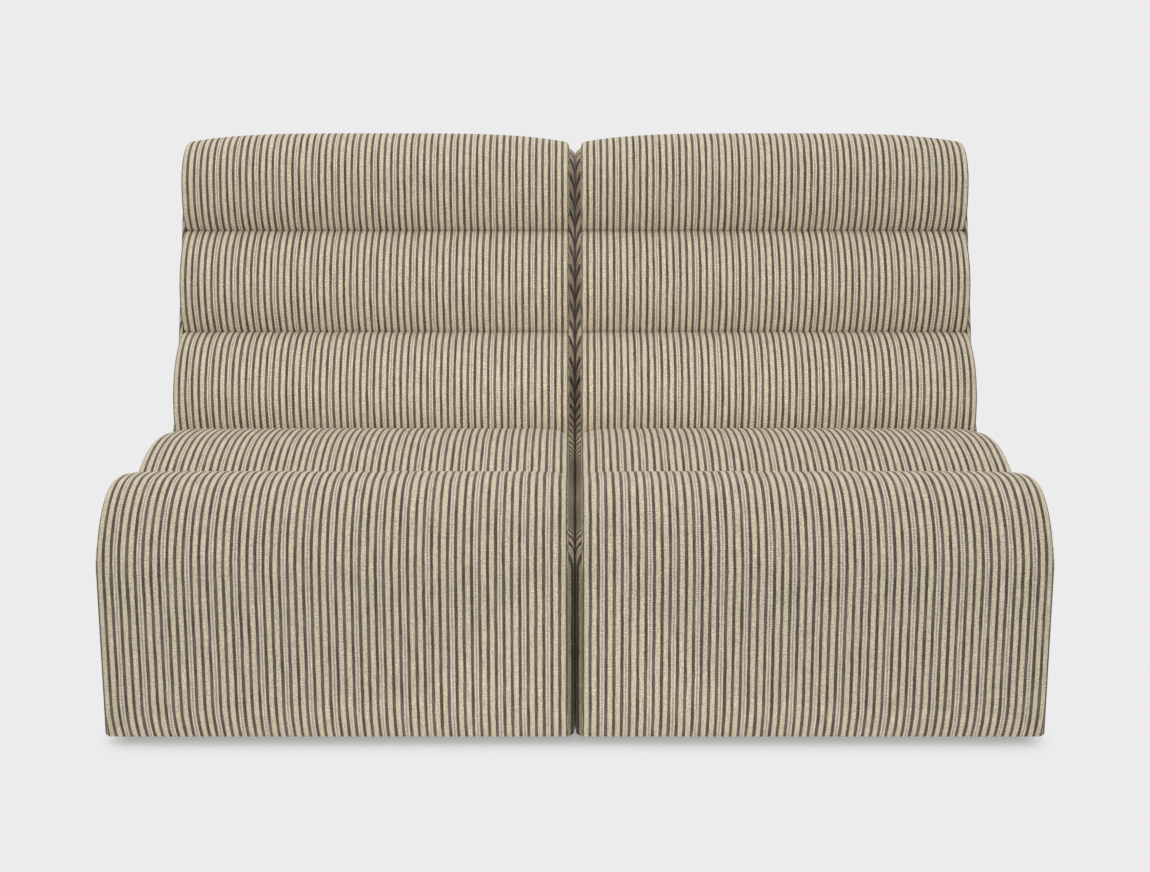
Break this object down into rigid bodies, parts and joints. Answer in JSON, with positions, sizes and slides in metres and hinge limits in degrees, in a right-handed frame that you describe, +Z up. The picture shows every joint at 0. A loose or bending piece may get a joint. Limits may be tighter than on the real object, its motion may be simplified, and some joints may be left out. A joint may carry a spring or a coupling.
{
  "type": "two-seater sofa",
  "caption": "Low armless two-seat sofa of joined modules with horizontal channel rolls on seat and back, in striped fabric.",
  "frame": {"origin": "on the floor under the centre of the sofa", "axes": "+X to the right seen from the front, -Y to the front, +Z up"},
  "size_m": [1.608, 0.98, 0.9812],
  "materials": {
    "ticking": "striped woven ticking",
    "foam": "open-cell upholstery foam",
    "felt": "needled felt pad",
    "webbing": "elastic webbing",
    "dust_cloth": "black non-woven cloth",
    "timber": "planed softwood",
    "plywood": "plywood",
    "board": "hardboard",
    "spring_steel": "oil-tempered wire",
    "zinc_steel": "zinc-plated steel",
    "glide_plastic": "moulded plastic"
  },
  "bodies": {
    "left_module": {"left_back_top_rail": "timber", "left_back_webbing": "webbing", "left_base_stretchers": "timber", "left_connector_blades": "zinc_steel", "left_connector_screws": "zinc_steel", "left_corner_blocks": "timber", "left_dust_cover": "dust_cloth", "left_frame_screws": "zinc_steel", "left_front_base_rail": "timber", "left_front_fascia": "board", "left_front_seat_foam": "foam", "left_glide_screws": "zinc_steel", "left_glides": "glide_plastic", "left_inner_gable": "plywood", "left_inner_side_panel": "ticking", "left_lower_back_foam": "foam", "left_middle_back_foam": "foam", "left_outer_gable": "plywood", "left_outer_side_panel": "ticking", "left_outside_back": "ticking", "left_rear_base_rail": "timber", "left_rear_seat_foam": "foam", "left_roll_cover": "ticking", "left_seat_front_rail": "timber", "left_seat_insulator": "felt", "left_seat_rear_rail": "timber", "left_seat_springs": "spring_steel", "left_spring_clips": "zinc_steel", "left_upper_back_foam": "foam"},
    "right_module": {"right_back_top_rail": "timber", "right_back_webbing": "webbing", "right_base_stretchers": "timber", "right_connector_clips": "zinc_steel", "right_connector_screws": "zinc_steel", "right_corner_blocks": "timber", "right_dust_cover": "dust_cloth", "right_frame_screws": "zinc_steel", "right_front_base_rail": "timber", "right_front_fascia": "board", "right_front_seat_foam": "foam", "right_glide_screws": "zinc_steel", "right_glides": "glide_plastic", "right_inner_gable": "plywood", "right_inner_side_panel": "ticking", "right_lower_back_foam": "foam", "right_middle_back_foam": "foam", "right_outer_gable": "plywood", "right_outer_side_panel": "ticking", "right_outside_back": "ticking", "right_rear_base_rail": "timber", "right_rear_seat_foam": "foam", "right_roll_cover": "ticking", "right_seat_front_rail": "timber", "right_seat_insulator": "felt", "right_seat_rear_rail": "timber", "right_seat_springs": "spring_steel", "right_spring_clips": "zinc_steel", "right_upper_back_foam": "foam"}
  },
  "joints": [
    {"name": "module_separation", "type": "slide", "parent": "left_module", "child": "right_module", "axis": [1, 0, 0], "range_m": [0, 0.3]}
  ]
}
